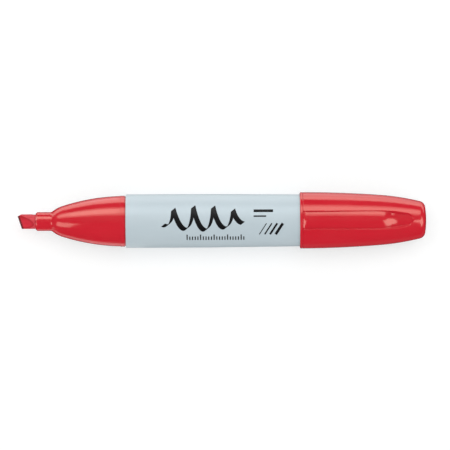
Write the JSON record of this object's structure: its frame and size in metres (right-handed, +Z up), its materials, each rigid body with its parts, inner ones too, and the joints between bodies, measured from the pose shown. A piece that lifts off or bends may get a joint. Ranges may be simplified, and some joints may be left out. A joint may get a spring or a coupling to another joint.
{
  "type": "felt tip marker",
  "caption": "Chisel-tip felt marker with its cap posted on the rear end: slim collar and ogive front, round barrel, domed cap with a shallow thumb panel that pulls straight off.",
  "frame": {"origin": "middle of the posted length, on the level that the cap's rim rests on", "axes": "+X along the marker from the nib to the cap's closed end; +Z up, through the middle of the cap's thumb panel"},
  "size_m": [0.1308, 0.018, 0.018],
  "materials": {
    "barrel_plastic": "satin",
    "red_plastic": "gloss",
    "nib_felt": "ink-soaked felt",
    "reservoir_fibre": "ink-soaked fibre",
    "sleeve_film": "thin film",
    "liner_plastic": "soft satin"
  },
  "bodies": {
    "marker_body": {"barrel": "barrel_plastic", "front_section": "red_plastic", "nib": "nib_felt", "ink_reservoir": "reservoir_fibre", "reservoir_sleeve": "sleeve_film", "rear_plug": "red_plastic"},
    "cap": {"cap_shell": "red_plastic", "cap_liner": "liner_plastic"}
  },
  "joints": [
    {"name": "cap_pull", "type": "slide", "parent": "marker_body", "child": "cap", "axis": [1, 0, 0], "range_m": [0, 0.04]}
  ]
}
